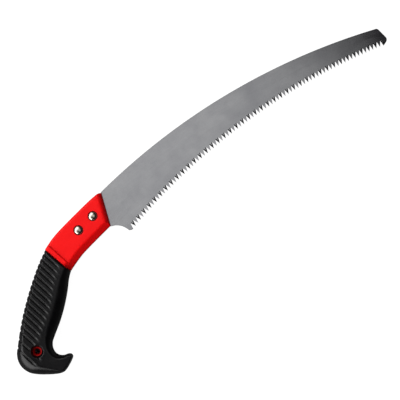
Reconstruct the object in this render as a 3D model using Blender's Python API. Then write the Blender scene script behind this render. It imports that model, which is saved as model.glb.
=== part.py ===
"""Curved pruning saw with a fixed blade and a hooked, rubber-covered handle.

The saw is drawn lying flat, in millimetres, around the centre of its front rivet:
+X runs from the butt to the blade's tip, +Y from the teeth to the back, and +Z out of
the right-hand side. An empty then carries every piece to the frame of the finished part,
whose origin is the middle of the saw's footprint on the surface that it lies on.
"""

from math import atan, atan2, cos, hypot, pi, radians, sin, tan

import bmesh
import bpy
import numpy as np

MM = 0.001
GAP = 0.3
PAST_FACE = 1.0
PAST_ALL = 20.0
PAST_OUTLINE = 400.0

# Blade
BLADE_THICKNESS = 1.4
BACK_CENTRE = np.array((20.6, -698.4))
BACK_RADIUS = 710.55
TOOTH_ROW_CENTRE = np.array((82.1, -737.1))
TOOTH_ROW_RADIUS = 699.3
TOOTH_COUNT = 81
FIRST_TOOTH = -57.1
TOOTH_PITCH = 4.09
HEEL_PITCH_GAIN = 0.21
TOOTH_HEIGHT = 5.9
TOOTH_LEAN = radians(5)
GULLET_WIDTH = 0.3
FACET_WIDTH = 1.2
FACET_RISE = 0.7
TIP_X = 358.8
TIP_CORNER = 3.0
TIP_LINE = ((355.6, -90.4), (357.6, -89.3), (TIP_X, -87.2))
NUB_LINE = ((17.6, -39.2), (19.1, -40.0))
BACK_FROM_TIP = 12.0
BACK_INTO_NECK = 2.0

# Rivets
RIVET_X = (0.0, -21.5)
RIVET_HEAD_RADIUS = 4.65
RIVET_DOME = 1.9
RIVET_RIM = 0.5
RIVET_SHOULDER_RADIUS = 2.5
RIVET_POST_RADIUS = 1.5
RIVET_BORE_RADIUS = 1.8
RIVET_TUBE_END = 5.0
RIVET_BORE_FLOOR = -6.0
RECESS_RADIUS = 5.25
RECESS_DEPTH = 1.2

# Neck, the exposed part of the core
NECK_HALF = 9.5
COLLAR_HALF = 11.0
NECK_LIP_HALF = 1.8
NECK_FRONT_WIDTH = 6.8
NECK_FRONT_ANGLES = (90, 70, 50, 30, 14, 0)
NECK_BACK_EDGE = 2.4
NECK_BACK_CUT = 0.3
NECK_BELLY_BEVEL = 8.5
NECK_BELLY_HALF = 3.0
BEVEL_CREASE = (0.9, 0.06)
BEVEL_FOOT = (0.12, 0.16)
FRONT_BACK = np.array((24.0, 11.3))
FRONT_BELLY = np.array((6.1, -20.9))

# Core inside the rubber
BAR_HALF = 9.0
BAR_EDGE = 2.5
EDGE_ANGLES = (90, 75, 55, 30, 0)
CELL_HALF = 6.6
CELL_WALL = 3.84
CELL_ENDS = ((-65.0, -82.0), (-88.0, -106.0), (-112.0, -130.0))
PEG_PLACES = ((-47.0, -4.0), (-109.0, -29.5), (-154.0, -72.0))
PEG_RADIUS = 1.6
PEG_LENGTH = 3.5
PEG_ROOT = 2.0

# Rubber grip
GRIP_HALF = 13.0
GRIP_EDGE_HALF = 0.6
GROOVE_TILT = radians(3.2)
JOINT_GROOVE = -61.9
FIRST_GROOVE = -65.9
GROOVE_PITCH = 5.49
EVEN_GROOVES = 15
WIDE_GROOVE_PITCH = 7.5
WIDE_GROOVES = 2
GROOVE_DEPTH = 1.2
GROOVE_HALF_WIDTH = 1.3
GROOVE_FLOOR_HALF_WIDTH = 0.35
GROOVE_CLEAR = 1.5
GROOVE_RUN_OUT = 4.0
GROOVE_END_DEPTH = -0.2
GROOVE_BEND_ANGLES = (90, 66, 44, 22)
WIDE_GROOVE_END_Y = -72.5
GROOVE_END_LINE = ((-62.0, -14.5), (-80.0, -23.3), (-105.0, -41.0), (-143.0, -58.5))

# Lanyard hole
LANYARD = np.array((-144.6, -60.7))
WINDOW_RADIUS = 6.5
LANYARD_RADIUS = 3.1
MOUTH_RADIUS = 4.7
MOUTH_DEPTH = 3.0

# Sections of the neck from the rubber forward: x on the back, x on the belly, half thickness.
# The first four are the raised collar, which steps down to the neck's flat sides.
NECK_STATIONS = (
    (-61.4, -58.4, COLLAR_HALF - 0.7),
    (-60.7, -57.7, COLLAR_HALF),
    (-56.8, -53.8, COLLAR_HALF),
    (-55.6, -52.6, COLLAR_HALF - 0.5),
    (-54.6, -51.6, NECK_HALF),
    (-48, -44, NECK_HALF),
    (-36, -34, NECK_HALF),
    (0, -14, NECK_HALF),
)

# The handle's back and belly in front of the rubber: points from the rubber to the front.
NECK_BACK_LINE = (
    (-61.4, 10.8),
    (-48.5, 13.45),
    (-36, 14.4),
    (7, 14.4),
    (16, 13.9),
    (20.5, 13.3),
    (24, 11.3),
)
NECK_BELLY_LINE = (
    (-58.4, -24.9),
    (-53.1, -23.9),
    (-44.6, -22.4),
    (-36, -21.3),
    (-20, -20.9),
    (6.1, -20.9),
)

# The rubber's outline from the neck's back, round the butt and the hook, to the neck's belly.
# Each point has the width over which the side rounds into the flat face.
GRIP_LINE = (
    (-61.7, 10.7, 4),
    (-76.5, 5.4, 4.5),
    (-92, -1.6, 4.5),
    (-110, -11, 4.5),
    (-129, -22.2, 4.5),
    (-143, -31.8, 5),
    (-156, -41.6, 6),
    (-163, -47.2, 7.5),
    (-167.6, -54.2, 9),
    (-169.2, -62.4, 10),
    (-167.4, -70.9, 10),
    (-162.8, -77.9, 9),
    (-154, -87, 7.5),
    (-147, -93, 5.5),
    (-143.6, -95.2, 4),
    (-139.6, -96.7, 3),
    (-135, -96.3, 2.5),
    (-124.3, -93, 2.2),
    (-121.6, -91.3, 2),
    (-121.2, -88.4, 2),
    (-123.3, -85.9, 2.2),
    (-127.6, -83.8, 3),
    (-131, -80, 4.5),
    (-132.1, -75.6, 5.5),
    (-130.7, -70.2, 7),
    (-126.4, -65.2, 9),
    (-119.6, -61.7, 11.5),
    (-104, -54.6, 14),
    (-89.2, -46.3, 14),
    (-75, -36.6, 13),
    (-67.5, -30.6, 11),
    (-62, -26.9, 9.5),
    (-58.7, -25.2, 9),
)

# The core's outline inside the rubber, closed inside the neck.
BAR_LINE = (
    (-48, 8),
    (-62, 6),
    (-92, -6.5),
    (-129, -27.3),
    (-150, -42.8),
    (-160, -51.5),
    (-164, -61.5),
    (-161, -71),
    (-152, -80.5),
    (-143, -88.5),
    (-136.5, -90.5),
    (-134, -88),
    (-137, -82),
    (-137.6, -75),
    (-134, -66),
    (-126, -59.5),
    (-104, -49.2),
    (-75, -31.2),
    (-62, -21),
    (-48, -17),
)

# The tang's hidden outline, from the blade's back at the neck round to its heel.
TANG_LINE = ((12, 11.2), (-32, 11), (-35, 8), (-35, -10), (-32, -13), (-6, -13), (-1.5, -15.5))

# The blade's concave lower edge, from the neck's corner to the nub before the first tooth.
HEEL_LINE = ((5.5, -21.3), (10.3, -24.6), (14.4, -29.9), (16.2, -35), (16.6, -37.9))

# Where the slot for the blade opens, in front of the neck: its lower edge, and its front.
SLOT_FLOOR = ((10, -30), (40, -30))


def unit(vector):
    return vector / hypot(*vector)


def spline(points, spans, closed=False):
    """Points on a centripetal Catmull-Rom curve through the given ones."""
    known = [np.array(p, float) for p in points]
    count = len(known)
    found = []
    for i in range(count if closed else count - 1):
        p1 = known[i]
        p2 = known[(i + 1) % count]
        p0 = known[i - 1] if closed or i > 0 else 2 * p1 - p2
        p3 = known[(i + 2) % count] if closed or i + 2 < count else 2 * p2 - p1
        t1 = np.linalg.norm(p1 - p0) ** 0.5
        t2 = t1 + np.linalg.norm(p2 - p1) ** 0.5
        t3 = t2 + np.linalg.norm(p3 - p2) ** 0.5
        for k in range(spans):
            t = t1 + (t2 - t1) * k / spans
            a1 = p0 + (p1 - p0) * t / t1
            a2 = p1 + (p2 - p1) * (t - t1) / (t2 - t1)
            a3 = p2 + (p3 - p2) * (t - t2) / (t3 - t2)
            b1 = a1 + (a2 - a1) * t / t2
            b2 = a2 + (a3 - a2) * (t - t1) / (t3 - t1)
            found.append(b1 + (b2 - b1) * (t - t1) / (t2 - t1))
    if not closed:
        found.append(known[-1])
    return np.array(found)


def arc(centre, radius, start, end, steps):
    """Points on a circle, from one angle to another, in radians from +X."""
    angles = np.linspace(start, end, steps + 1)
    return [centre + radius * np.array((cos(a), sin(a))) for a in angles]


def counter_clockwise(outline):
    x, y = outline[:, 0], outline[:, 1]
    area = (x * np.roll(y, -1) - np.roll(x, -1) * y).sum()
    return outline if area > 0 else outline[::-1]


def inward(outline):
    """The unit normal into a counter-clockwise outline at each of its points."""
    along = np.roll(outline[:, :2], -1, axis=0) - np.roll(outline[:, :2], 1, axis=0)
    normal = np.stack((-along[:, 1], along[:, 0]), axis=1)
    return normal / np.linalg.norm(normal, axis=1)[:, None]


def grown(outline, distance):
    """An outline moved outward by a small distance."""
    outline = counter_clockwise(np.array(outline, float))
    return outline - inward(outline) * distance


# Objects


def material(name, colour, roughness, metallic):
    made = bpy.data.materials.new(name)
    made.use_nodes = True
    shader = made.node_tree.nodes["Principled BSDF"]
    shader.inputs["Base Color"].default_value = (*colour, 1)
    shader.inputs["Roughness"].default_value = roughness
    shader.inputs["Metallic"].default_value = metallic
    return made


def add(name, points, faces, parent, finish=None, place=(0, 0, 0)):
    """A closed mesh object from points in millimetres, with its faces turned outward."""
    mesh = bpy.data.meshes.new(name)
    mesh.from_pydata([[c * MM for c in p] for p in points], [], faces)
    work = bmesh.new()
    work.from_mesh(mesh)
    bmesh.ops.recalc_face_normals(work, faces=work.faces)
    work.to_mesh(mesh)
    work.free()
    made = bpy.data.objects.new(name, mesh)
    made.parent = parent
    made.location = [c * MM for c in place]
    bpy.context.scene.collection.objects.link(made)
    if finish:
        mesh.materials.append(finish)
    else:
        made.hide_render = True
        made.display_type = "WIRE"
    return made


def combine(target, other, operation):
    modifier = target.modifiers.new(f"{operation.lower()} {other.name}", "BOOLEAN")
    modifier.operation = operation
    modifier.solver = "EXACT"
    modifier.object = other


def smooth(piece, angle):
    piece.data.shade_smooth()
    piece.data.set_sharp_from_angle(angle=radians(angle))


# Meshes: each function returns points and faces


def stacked(rings):
    """A solid through closed rings of equal length, with a cap on each end."""
    size = len(rings[0])
    points = [p for ring in rings for p in ring]
    faces = []
    for level in range(len(rings) - 1):
        low = level * size
        for i in range(size):
            j = (i + 1) % size
            faces.append((low + i, low + j, low + size + j, low + size + i))
    faces.append(tuple(range(size))[::-1])
    faces.append(tuple(range(len(points) - size, len(points))))
    return points, faces


def prism(outline, low, high):
    return stacked([[(x, y, z) for x, y in outline] for z in (low, high)])


def turned(profile, segments=28):
    """A round solid about Z. The profile is (radius, z) from one pole to the other."""
    points = []
    rings = []
    for radius, z in profile:
        if radius == 0:
            rings.append([len(points)])
            points.append((0, 0, z))
            continue
        rings.append(range(len(points), len(points) + segments))
        for i in range(segments):
            angle = 2 * pi * i / segments
            points.append((radius * cos(angle), radius * sin(angle), z))
    faces = []
    for low, high in zip(rings, rings[1:]):
        for i in range(segments):
            j = (i + 1) % segments
            corners = [low[i % len(low)], low[j % len(low)], high[j % len(high)], high[i % len(high)]]
            faces.append(tuple(dict.fromkeys(corners)))
    return points, faces


def cylinder(radius, half, segments=28):
    return turned(((0, -half), (radius, -half), (radius, half), (0, half)), segments)


def joined(solids):
    """Several separate solids as one list of points and faces."""
    points = []
    faces = []
    for more_points, more_faces in solids:
        start = len(points)
        points += more_points
        faces += [tuple(start + i for i in face) for face in more_faces]
    return points, faces


def moved(solid, x, y):
    points, faces = solid
    return [(px + x, py + y, pz) for px, py, pz in points], faces


def pillow(outline, widths, half, edge_half, directions):
    """A plate whose sides round over, in quarter ellipses, into its two flat faces."""
    rings = []
    for angle in EDGE_ANGLES:
        inset = widths * (1 - cos(radians(angle)))
        flat = outline + directions * inset[:, None]
        height = edge_half + (half - edge_half) * sin(radians(angle))
        rings.append([(x, y, height) for x, y in flat])
    lower = [[(x, y, -z) for x, y, z in ring] for ring in rings]
    return stacked(lower + rings[::-1])


# Blade


def on_tooth_row(along, above):
    """A point by its distance along the row of tooth tips and its height above it."""
    angle = along / TOOTH_ROW_RADIUS
    return TOOTH_ROW_CENTRE + (TOOTH_ROW_RADIUS + above) * np.array((sin(angle), cos(angle)))


def tooth_place(index):
    """The distance of a tooth's tip along the row. The pitch grows a little toward the heel."""
    gaps = TOOTH_COUNT - 1
    t = index / gaps
    return FIRST_TOOTH + gaps * (TOOTH_PITCH * t + HEEL_PITCH_GAIN * (1 - (1 - t) ** 3) / 3)


def tooth_outline(index, ground):
    """A tooth's flanks on one face of the blade. A ground face lies inside the sharp one."""
    tip = tooth_place(index)
    before = (tip - tooth_place(index - 1)) / 2 - GULLET_WIDTH / 2
    after = (tooth_place(index + 1) - tip) / 2 - GULLET_WIDTH / 2
    slope = atan((before + after) / 2 / TOOTH_HEIGHT)
    if ground:
        top = TOOTH_HEIGHT + FACET_RISE
        side = (top - FACET_WIDTH * sin(slope)) * tan(slope) - FACET_WIDTH * cos(slope)
        corners = [(-side, top), (0, FACET_WIDTH / sin(slope)), (side, top)]
    else:
        corners = [(-before, TOOTH_HEIGHT), (0, 0), (after, TOOTH_HEIGHT)]
    return [on_tooth_row(tip + x + y * tan(TOOTH_LEAN), y) for x, y in corners]


def circle_y(centre, radius, x):
    return centre[1] + (radius**2 - (x - centre[0]) ** 2) ** 0.5


def blade_tip():
    """From the last tooth up the blunt end to where the back begins."""
    low = [np.array(p) for p in TIP_LINE]
    corner_x = TIP_X - TIP_CORNER
    corner = np.array((corner_x, circle_y(BACK_CENTRE, BACK_RADIUS - TIP_CORNER, corner_x)))
    return low + arc(corner, TIP_CORNER, 0, atan2(*(corner - BACK_CENTRE)[::-1]), 4)


def blade_back():
    """The back edge, from the tip to the neck."""
    xs = np.linspace(TIP_X - BACK_FROM_TIP, FRONT_BACK[0] + BACK_INTO_NECK, 28)
    return [np.array((x, circle_y(BACK_CENTRE, BACK_RADIUS, x))) for x in xs]


def blade_heel():
    """The concave edge in front of the neck, then the blunt nub up to the first gullet."""
    nub = [np.array(p) for p in NUB_LINE] + [on_tooth_row(tooth_place(-1), 0)]
    gullet = (tooth_place(-1) + tooth_place(0) - GULLET_WIDTH) / 2 + TOOTH_HEIGHT * tan(TOOTH_LEAN)
    return list(spline(HEEL_LINE, 3)) + nub + [on_tooth_row(gullet, TOOTH_HEIGHT)]


def blade_face(near):
    """The blade's outline on one face. Even teeth are ground on the near face, odd on the far."""
    outline = blade_heel()
    for index in range(TOOTH_COUNT):
        ground = (index % 2 == 0) == near
        flanks = tooth_outline(index, ground)
        last = index == TOOTH_COUNT - 1
        outline += flanks[:2] if last else flanks
    return outline + blade_tip() + blade_back() + [np.array(p, float) for p in TANG_LINE]


def add_blade(parent, finish):
    half = BLADE_THICKNESS / 2
    far = [(x, y, -half) for x, y in blade_face(near=False)]
    near = [(x, y, half) for x, y in blade_face(near=True)]
    blade = add("blade", *stacked([far, near]), parent, finish)
    bore = cylinder(RIVET_SHOULDER_RADIUS + GAP, half + PAST_FACE)
    bores = joined([moved(bore, x, 0) for x in RIVET_X])
    combine(blade, add("blade_rivet_bores", *bores, parent), "DIFFERENCE")


# Core


def neck_section(back, belly, half):
    """A closed section of the neck between a point of its back and one of its belly."""
    length = hypot(*(belly - back))
    across = unit(belly - back)
    share = (half - NECK_LIP_HALF) / (NECK_HALF - NECK_LIP_HALF)
    edge = min(NECK_BACK_EDGE, NECK_BACK_EDGE * share)
    bevel = NECK_BELLY_BEVEL * min(share, 1)
    low = NECK_LIP_HALF + (NECK_BELLY_HALF - NECK_LIP_HALF) * min(share, 1)
    fall = half - low
    cut = edge * NECK_BACK_CUT
    crease_share, crease_fall = BEVEL_CREASE
    foot_share, foot_rise = BEVEL_FOOT
    upper = (
        (0, half - edge),
        (cut, half - cut),
        (edge, half),
        (length - bevel, half),
        (length - bevel * crease_share, half - fall * crease_fall),
        (length - bevel * foot_share, low + fall * foot_rise),
        (length, low),
    )
    half_loop = [(*(back + across * distance), z) for distance, z in upper]
    return half_loop + [(x, y, -z) for x, y, z in half_loop[::-1]]


def neck_solid():
    """The exposed part of the core, as sections from the rubber's end to the front edge."""
    back_line = spline(NECK_BACK_LINE, 8)
    belly_line = spline(NECK_BELLY_LINE, 8)
    stations = list(NECK_STATIONS)
    front_width = NECK_FRONT_WIDTH / unit(FRONT_BACK - FRONT_BELLY)[1]
    for angle in NECK_FRONT_ANGLES:
        offset = front_width * (1 - cos(radians(angle)))
        half = NECK_LIP_HALF + (NECK_HALF - NECK_LIP_HALF) * sin(radians(angle))
        stations.append((FRONT_BACK[0] - offset, FRONT_BELLY[0] - offset, half))
    sections = []
    for back_x, belly_x, half in stations:
        back = np.array((back_x, np.interp(back_x, back_line[:, 0], back_line[:, 1])))
        belly = np.array((belly_x, np.interp(belly_x, belly_line[:, 0], belly_line[:, 1])))
        sections.append(neck_section(back, belly, half))
    return stacked(sections)


def bar_solid(extra):
    """The core inside the rubber. The extra distance makes the rubber's cavity around it."""
    outline = grown(spline(BAR_LINE, 3, closed=True), extra)
    widths = np.full(len(outline), BAR_EDGE)
    return pillow(outline, widths, BAR_HALF + extra, BAR_HALF - BAR_EDGE, inward(outline))


def lanyard_solid():
    """The cord hole through the core, with a wide conical mouth on each side."""
    throat = BAR_HALF - MOUTH_DEPTH
    face = BAR_HALF + PAST_FACE
    wide = MOUTH_RADIUS + PAST_FACE * (MOUTH_RADIUS - LANYARD_RADIUS) / MOUTH_DEPTH
    upper = ((LANYARD_RADIUS, throat), (wide, face), (0, face))
    lower = tuple((radius, -z) for radius, z in upper[::-1])
    return moved(turned(lower + upper), *LANYARD)


def rivet_bore_solid():
    """The stepped hole of a rivet: a wide recess for each head and a bore between them."""
    floor = NECK_HALF - RECESS_DEPTH
    bore = RIVET_SHOULDER_RADIUS + GAP
    top = COLLAR_HALF + PAST_FACE
    upper = ((bore, floor), (RECESS_RADIUS, floor), (RECESS_RADIUS, top), (0, top))
    lower = tuple((radius, -z) for radius, z in upper[::-1])
    return turned(lower + upper)


def cell_solids():
    """The hollows that lighten the core, as straight-sided cells between cross walls."""
    bar = spline(BAR_LINE, 4, closed=True)
    middle = len(bar) // 2
    back = bar[:middle][np.argsort(bar[:middle, 0])]
    belly = bar[middle:][np.argsort(bar[middle:, 0])]
    cells = []
    for front, rear in CELL_ENDS:
        xs = np.linspace(rear, front, 4)
        upper = [(x, np.interp(x, back[:, 0], back[:, 1]) - CELL_WALL) for x in xs]
        lower = [(x, np.interp(x, belly[:, 0], belly[:, 1]) + CELL_WALL) for x in xs]
        cells.append(prism(lower + upper[::-1], -CELL_HALF, CELL_HALF))
    return cells


def peg_solids(extra, low, high):
    profile = ((0, low), (PEG_RADIUS + extra, low), (PEG_RADIUS + extra, high), (0, high))
    return joined([moved(turned(profile, 20), *place) for place in PEG_PLACES])


def box_solid(low, high):
    far = PAST_OUTLINE
    return prism(((-far, -far), (far, -far), (far, far), (-far, far)), low, high)


def slot_outline():
    """The clearance around the part of the blade that the neck holds."""
    root = blade_back()[-1:] + [np.array(p, float) for p in TANG_LINE]
    front = SLOT_FLOOR[-1][0]
    ahead = [*SLOT_FLOOR, (front, circle_y(BACK_CENTRE, BACK_RADIUS, front))]
    return grown(root + blade_heel()[:1] + ahead, GAP)


def add_core(parent, finish):
    slot_half = BLADE_THICKNESS / 2 + GAP
    cutters = [
        add("blade_slot", *prism(slot_outline(), -slot_half, slot_half), parent),
        add("rivet_bores", *joined([moved(rivet_bore_solid(), x, 0) for x in RIVET_X]), parent),
        add("lanyard_bore", *lanyard_solid(), parent),
        add("core_cells", *joined(cell_solids()), parent),
    ]
    bar = add("core_bar", *bar_solid(0), parent)
    shift = GAP / 2
    for name, low, high in (("core_right", shift, PAST_ALL), ("core_left", -PAST_ALL, -shift)):
        half = add(name, *neck_solid(), parent, finish)
        combine(half, bar, "UNION")
        combine(half, add(f"{name}_side", *box_solid(low, high), parent), "INTERSECT")
        for cutter in cutters:
            combine(half, cutter, "DIFFERENCE")
        if name == "core_right":
            pegs = peg_solids(GAP, -PAST_FACE, PEG_LENGTH + GAP)
            combine(half, add("peg_sockets", *pegs, parent), "DIFFERENCE")
        else:
            pegs = peg_solids(0, -PEG_ROOT, PEG_LENGTH)
            combine(half, add("pegs", *pegs, parent), "UNION")


# Rivets


def dome(underside):
    """A rivet head's profile, from its rim to its crown."""
    rim = underside + RIVET_RIM
    steps = [(RIVET_HEAD_RADIUS * cos(a), rim + RIVET_DOME * sin(a)) for a in np.linspace(0, pi / 2, 7)]
    return [(RIVET_HEAD_RADIUS, underside)] + steps[:-1] + [(0, rim + RIVET_DOME)]


def add_rivets(parent, finish):
    seat = NECK_HALF - RECESS_DEPTH + GAP
    post = [
        (0, RIVET_BORE_FLOOR + GAP),
        (RIVET_POST_RADIUS, RIVET_BORE_FLOOR + GAP),
        (RIVET_POST_RADIUS, RIVET_TUBE_END + GAP),
        (RIVET_SHOULDER_RADIUS, RIVET_TUBE_END + GAP),
        (RIVET_SHOULDER_RADIUS, seat),
    ] + dome(seat)
    socket = [
        (0, RIVET_BORE_FLOOR),
        (RIVET_BORE_RADIUS, RIVET_BORE_FLOOR),
        (RIVET_BORE_RADIUS, RIVET_TUBE_END),
        (RIVET_SHOULDER_RADIUS, RIVET_TUBE_END),
        (RIVET_SHOULDER_RADIUS, -seat),
    ] + [(radius, -z) for radius, z in dome(seat)]
    for place, x in zip(("front", "rear"), RIVET_X):
        for kind, profile in (("post", post), ("socket", socket)):
            piece = add(f"{place}_rivet_{kind}", *turned(profile), parent, finish, place=(x, 0, 0))
            smooth(piece, 35)


# Grip


def grip_line():
    """The rubber's outline with its rounding widths, counter-clockwise from the neck's back."""
    return spline(GRIP_LINE, 3)


def grip_solid():
    line = grip_line()
    outline = line[:, :2]
    directions = inward(outline)
    directions[0] = unit(outline[-1] - outline[0])
    directions[-1] = unit(outline[0] - outline[-1])
    return pillow(outline, line[:, 2], GRIP_HALF, GRIP_EDGE_HALF, directions)


def groove_places():
    """Where each groove crosses the back, and the y at which it ends on the flat faces."""
    even = [JOINT_GROOVE] + [FIRST_GROOVE - GROOVE_PITCH * i for i in range(EVEN_GROOVES)]
    ends = np.array(GROOVE_END_LINE)[::-1]
    places = [(x, np.interp(x, ends[:, 0], ends[:, 1])) for x in even]
    for i in range(WIDE_GROOVES):
        places.append((even[-1] - WIDE_GROOVE_PITCH * (i + 1), WIDE_GROOVE_END_Y))
    return places


def groove_solid(x, end_y):
    """A bent bar with sloping sides that runs from one face round the back to the other."""
    line = grip_line()
    back = line[: np.argmin(line[:, 0])][::-1]
    start = np.array((x, np.interp(x, back[:, 0], back[:, 1])))
    width = np.interp(x, back[:, 0], back[:, 2])
    slope = np.interp(x + 1, back[:, 0], back[:, 1]) - np.interp(x - 1, back[:, 0], back[:, 1])
    run = np.array((sin(GROOVE_TILT), -cos(GROOVE_TILT)))
    side = np.array((cos(GROOVE_TILT), sin(GROOVE_TILT)))
    width = width / cos(atan2(slope, 2) + GROOVE_TILT)
    length = (start[1] - end_y) / cos(GROOVE_TILT)
    rise = GRIP_HALF - GRIP_EDGE_HALF
    path = [
        (length, GRIP_HALF, 0, 1, GROOVE_END_DEPTH),
        (length - GROOVE_RUN_OUT, GRIP_HALF, 0, 1, GROOVE_DEPTH),
    ]
    for angle in GROOVE_BEND_ANGLES:
        c, s = cos(radians(angle)), sin(radians(angle))
        out = unit(np.array((-rise * c, width * s)))
        path.append((width * (1 - c), GRIP_EDGE_HALF + rise * s, *out, GROOVE_DEPTH))
    path.append((0, 0, -1, 0, GROOVE_DEPTH))
    path += [(a, -z, na, -nz, depth) for a, z, na, nz, depth in path[-2::-1]]
    spread = (GROOVE_HALF_WIDTH - GROOVE_FLOOR_HALF_WIDTH) / GROOVE_DEPTH
    rings = []
    for a, z, na, nz, depth in path:
        ring = []
        for height, half in (
            (-depth, GROOVE_FLOOR_HALF_WIDTH),
            (GROOVE_CLEAR, GROOVE_HALF_WIDTH + spread * GROOVE_CLEAR),
        ):
            for sign in (-1, 1) if height < GROOVE_CLEAR else (1, -1):
                flat = start + run * (a + na * height) + side * sign * half
                ring.append((*flat, z + nz * height))
        rings.append(ring)
    return stacked(rings)


def add_grip(parent, finish):
    grip = add("grip_sleeve", *grip_solid(), parent, finish)
    grooves = joined([groove_solid(x, end_y) for x, end_y in groove_places()])
    for name, solid in (
        ("core_cavity", bar_solid(GAP)),
        ("grip_grooves", grooves),
        ("lanyard_window", moved(cylinder(WINDOW_RADIUS, PAST_ALL, 40), *LANYARD)),
    ):
        combine(grip, add(name, *solid, parent), "DIFFERENCE")


def main():
    for old in list(bpy.data.objects):
        bpy.data.objects.remove(old)
    steel = material("satin_steel", (0.33, 0.33, 0.34), 0.35, 1)
    nickel = material("nickel_plate", (0.72, 0.68, 0.6), 0.2, 1)
    red = material("red_nylon", (0.8, 0.01, 0.012), 0.35, 0)
    rubber = material("black_rubber", (0.012, 0.012, 0.013), 0.55, 0)
    line = grip_line()
    saw = bpy.data.objects.new("saw", None)
    saw.location = (
        -(TIP_X + line[:, 0].min()) / 2 * MM,
        -(NECK_BACK_LINE[2][1] + line[:, 1].min()) / 2 * MM,
        GRIP_HALF * MM,
    )
    bpy.context.scene.collection.objects.link(saw)
    add_blade(saw, steel)
    add_core(saw, red)
    add_rivets(saw, nickel)
    add_grip(saw, rubber)


main()
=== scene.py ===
"""Looks of the curved pruning saw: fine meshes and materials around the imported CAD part.

Shapes are worked out in millimetres around the centre of the front rivet: +X runs from the
butt to the blade's tip, +Y from the teeth to the back, +Z out of the right-hand side.
"""

from math import atan, atan2, cos, hypot, pi, radians, sin, tan

import bmesh
import bpy
import numpy as np
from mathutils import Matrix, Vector, geometry


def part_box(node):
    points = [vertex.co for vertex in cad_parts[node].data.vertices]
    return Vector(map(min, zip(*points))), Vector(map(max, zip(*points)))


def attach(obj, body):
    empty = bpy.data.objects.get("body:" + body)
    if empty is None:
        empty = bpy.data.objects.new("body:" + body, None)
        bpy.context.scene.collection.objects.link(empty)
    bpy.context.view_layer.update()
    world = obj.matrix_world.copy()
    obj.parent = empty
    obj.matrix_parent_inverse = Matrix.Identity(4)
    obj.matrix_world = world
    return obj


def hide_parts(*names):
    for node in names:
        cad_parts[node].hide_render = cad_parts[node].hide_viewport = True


MM = 0.001

# Meshes: the spacing of their points in millimetres, and the sides of round holes
LINE_STEP = 0.5
CIRCLE_STEP = 0.4
NECK_GRID = ((-64, -28), (28, 18), 0.55, 0.55)
NECK_RING_WIDTH = 3.0
NECK_GRID_GAP = 0.2
RECESS_GRID_GAPS = (1.8, 1.0)
GRIP_LINE_STEP = 0.45
GRIP_GRID = ((-172, -100), (-56, 14), 0.45, 0.9)
GRIP_GRID_GAP = 0.3
GRIP_WALL_LEVELS = (0.2, 0.35, 0.42, 0.5, 0.58, 0.65, 0.8)
RING_REACH = 4.3
BACK_POINTS = 110
BLADE_BORE_SIDES = 64
CORE_BORE_SIDES = 48
LANYARD_SIDES = 72
HEAD_SIDES = 96
TOOL_PAST = 2

# Blade
BLADE_HALF = 0.7
BACK_CENTRE = np.array((20.6, -698.4))
BACK_RADIUS = 710.55
TOOTH_ROW_CENTRE = np.array((82.1, -737.1))
TOOTH_ROW_RADIUS = 699.3
TOOTH_COUNT = 81
FIRST_TOOTH = -57.1
TOOTH_PITCH = 4.09
HEEL_PITCH_GAIN = 0.21
TOOTH_HEIGHT = 5.9
TOOTH_LEAN = radians(5)
GULLET_WIDTH = 0.3
FACET_WIDTH = 1.2
FACET_RISE = 0.7
TIP_X = 358.8
TIP_CORNER = 3.0
EDGE_BREAK = 0.22
RING_GAP = 0.002
GROUND_REACH = 0.3
GROUND_START = 4.0
HEEL_LINE = ((5.5, -21.3), (10.3, -24.6), (14.4, -29.9), (16.2, -35), (16.6, -37.9))
TANG_LINE = ((12, 11.2), (-32, 11), (-35, 8), (-35, -10), (-32, -13), (-6, -13), (-1.5, -15.5))

# Rivets
RIVET_X = (0.0, -21.5)
HEAD_RADIUS = 4.65
DOME_HEIGHT = 1.9
RIM_HEIGHT = 0.5
RIM_BREAK = 0.12
POST_END = 5.0
SHANK_RADIUS = 2.5
RECESS_RADIUS = 5.25
RECESS_DEPTH = 1.2
RECESS_ROUND = 0.35
SEAT_GAP = 0.3

# Neck
NECK_HALF = 9.5
COLLAR_RISE = 1.5
COLLAR_EDGE = -55.1
COLLAR_STEP = 1.1
COLLAR_END_ROUND = 0.9
LIP_HALF = 1.8
FRONT_WIDTH = 6.8
FRONT_RIM_HALF = 1.4
BACK_ROUND = 2.4
BELLY_HALF = 3.0
BELLY_WIDTH = 8.5
BELLY_LIP_ROUND = 1.0
SOFT_CREASE = 0.9
FRONT_BACK = (24.0, 11.3)
FRONT_BELLY = (6.1, -20.9)
HALVES_GAP = 0.15
NECK_BACK_LINE = (
    (-61.6, 10.8),
    (-48.5, 13.45),
    (-36, 14.4),
    (7, 14.4),
    (16, 13.9),
    (20.5, 13.3),
    (24, 11.3),
)
NECK_BELLY_LINE = (
    (-58.6, -25.0),
    (-53.1, -23.9),
    (-44.6, -22.4),
    (-36, -21.3),
    (-20, -20.9),
    (6.1, -20.9),
)

# Core inside the rubber
BAR_HALF = 9.0
BAR_ROUND = 2.5
BAR_LINE = (
    (-48, 8),
    (-62, 6),
    (-92, -6.5),
    (-129, -27.3),
    (-150, -42.8),
    (-160, -51.5),
    (-164, -61.5),
    (-161, -71),
    (-152, -80.5),
    (-143, -88.5),
    (-136.5, -90.5),
    (-134, -88),
    (-137, -82),
    (-137.6, -75),
    (-134, -66),
    (-126, -59.5),
    (-104, -49.2),
    (-75, -31.2),
    (-62, -21),
    (-48, -17),
)

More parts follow.
